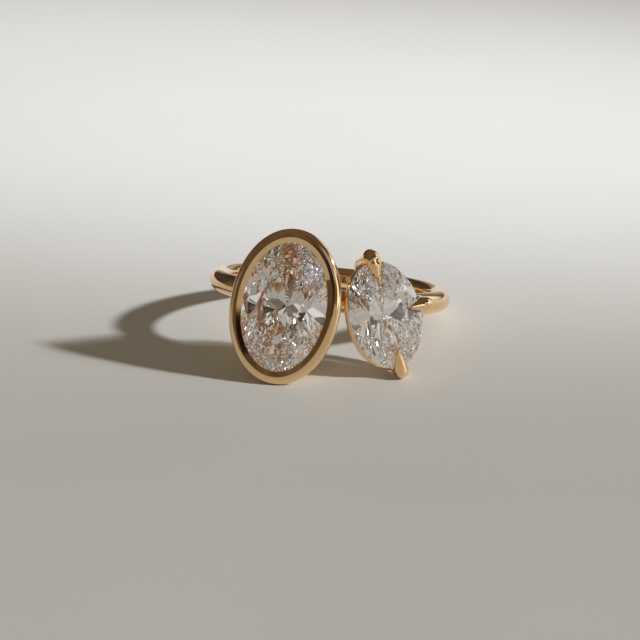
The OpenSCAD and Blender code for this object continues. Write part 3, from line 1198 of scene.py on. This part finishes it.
@dataclass
class Stage:
    """The pale ground and the lamps over it.

    Attributes:
        ground: The ground's finish.
        ground_size: Its side in metres.
        key_azimuth: Direction of the key light, in degrees from the camera's side to the right.
        key_elevation: Its height over the horizon, in degrees.
        key_angle: Its width as the ring sees it, in degrees.
        key_strength: Its strength.
        key_colour: Its colour.
        pool_spot: The middle of the pool of light behind the ring, in metres.
        pool_distance: The pool lamp's distance in metres.
        pool_power: Its power in watts.
        pool_angle: The full angle of its cone in degrees.
        pool_colour: Its colour.
        stone_bounces: How often a ray may bounce in a stone.
        metal_bounces: How often it may bounce on metal and inside facets.
        clamp: The brightest that one bounced ray may be.
    """

    ground: PaleGround = PaleGround()
    ground_size: float = 8.0
    key_azimuth: float = 64.5
    key_elevation: float = 28.6
    key_angle: float = 4.0
    key_strength: float = 2.6
    key_colour: Colour = (0.97, 0.98, 0.99)
    pool_spot: tuple[float, float, float] = (-0.012, 0.079, 0.0)
    pool_distance: float = 0.8
    pool_power: float = 34.0
    pool_angle: float = 11.4
    pool_colour: Colour = (0.915, 0.965, 1.05)
    stone_bounces: int = 64
    metal_bounces: int = 48
    clamp: float = 12.0

    def lay_ground(self, shop: EffectShop) -> None:
        """Lays the ground.

        Args:
            shop: Where the shared effects come from.
        """
        half = self.ground_size / 2
        mesh = bpy.data.meshes.new("ground")
        corners = [(-half, -half, 0), (half, -half, 0), (half, half, 0), (-half, half, 0)]
        mesh.from_pydata(corners, [], [(0, 1, 2, 3)])
        ground = bpy.data.objects.new("ground", mesh)
        mesh.materials.append(self.ground.material(shop))
        bpy.context.scene.collection.objects.link(ground)

    def light(self) -> None:
        """Hangs the key, and a lamp beside it that pools behind the ring."""
        beam = towards(self.key_azimuth, self.key_elevation)
        key = bpy.data.lights.new("key", "SUN")
        key.energy, key.angle, key.color = self.key_strength, radians(self.key_angle), self.key_colour
        pool = bpy.data.lights.new("pool", "SPOT")
        pool.energy, pool.color = self.pool_power, self.pool_colour
        pool.spot_size, pool.spot_blend = radians(self.pool_angle), 1.0
        pool.shadow_soft_size = self.pool_distance * tan(radians(self.key_angle / 2))
        for lamp, spot in ((key, Vector()), (pool, Vector(self.pool_spot))):
            piece = bpy.data.objects.new(lamp.name, lamp)
            piece.rotation_mode = "QUATERNION"
            piece.rotation_quaternion = beam.to_track_quat("Z", "Y")
            piece.location = spot + beam * self.pool_distance
            bpy.context.scene.collection.objects.link(piece)

    def finish_light(self) -> None:
        """Lets light pass the stones often enough, and keeps the picture's tones plain."""
        scene = bpy.context.scene
        scene.cycles.max_bounces = scene.cycles.transmission_bounces = self.stone_bounces
        scene.cycles.glossy_bounces = self.metal_bounces
        scene.cycles.sample_clamp_indirect = self.clamp
        scene.view_settings.view_transform = "Standard"


@dataclass(frozen=True)
class PhotoCamera:
    """The camera at the photo's angle.

    Attributes:
        azimuth: Its turn round the ring, in degrees.
        elevation: Its height over the horizon, in degrees.
        distance: Its distance from the ring's middle.
        aim_left: How far left of the ring's middle it aims.
        aim_below: How far below the ring's middle it aims.
        roll: Its turn about the line of sight in degrees, which lowers the picture's left side.
        lens: Its focal length.
    """

    azimuth: float = -1.2
    elevation: float = 18.33
    distance: float = 237.8
    aim_left: float = 0.902
    aim_below: float = 2.594
    roll: float = 1.7
    lens: float = 160.84

    def build(self, place: Matrix) -> None:
        """Sets up the scene's camera.

        Args:
            place: Where the ring lies.
        """
        back = towards(self.azimuth, self.elevation)
        right = Vector((cos(radians(self.azimuth)), sin(radians(self.azimuth)), 0.0))
        up = back.cross(right)
        aimed = back * self.distance + right * self.aim_left + up * self.aim_below
        data = bpy.data.cameras.new("camera")
        data.lens, data.sensor_width = self.lens, 36.0
        data.clip_start, data.clip_end = 0.01, 20.0
        camera = bpy.data.objects.new("camera", data)
        camera.rotation_mode = "QUATERNION"
        rolled = Quaternion((0.0, 0.0, 1.0), -radians(self.roll))
        camera.rotation_quaternion = aimed.to_track_quat("Z", "Y") @ rolled
        camera.location = place.translation + back * self.distance * MM
        bpy.context.scene.collection.objects.link(camera)
        bpy.context.scene.camera = camera


def main() -> None:
    """Builds the ring piece by piece, then its stage."""
    logging.basicConfig(level=logging.INFO, format="%(message)s")
    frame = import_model()
    place = ring_place(frame["record"])
    shop = EffectShop()

    shank = Shank()
    large = BrilliantCut(Oval(10.6, 7.1), crown=1.0, pavilion=3.05, split=0.02)
    small = BrilliantCut(Oval(8.8, 5.9), crown=0.85, pavilion=2.54, split=0.024)
    large_rise, small_rise = shank.outer + 0.75, shank.outer + 1.34
    large_head = Head(-16.0, large_rise + large.pavilion + large.girdle / 2, 6.75, 0.32)
    small_head = Head(16.8, small_rise + small.pavilion + small.girdle / 2, -22.0, 0.25)
    cup = BezelCup(large, large_head, shank.outer)
    basket = ClawBasket(small, small_head, shank.outer)

    for part in (shank, cup, basket):
        for piece in part.build(place, shop):
            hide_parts(GOLD_NODE)
    large.build("bezel_oval", large_head.matrix(place), "bezel_stone", "bezel_oval_stone", shop)
    small.build("claw_oval", small_head.matrix(place), "claw_stone", "claw_oval_stone", shop)

    stage = Stage()
    stage.lay_ground(shop)
    stage.light()
    stage.finish_light()
    Room().build()
    PhotoCamera().build(place)
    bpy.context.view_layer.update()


if __name__ == "__main__":
    main()
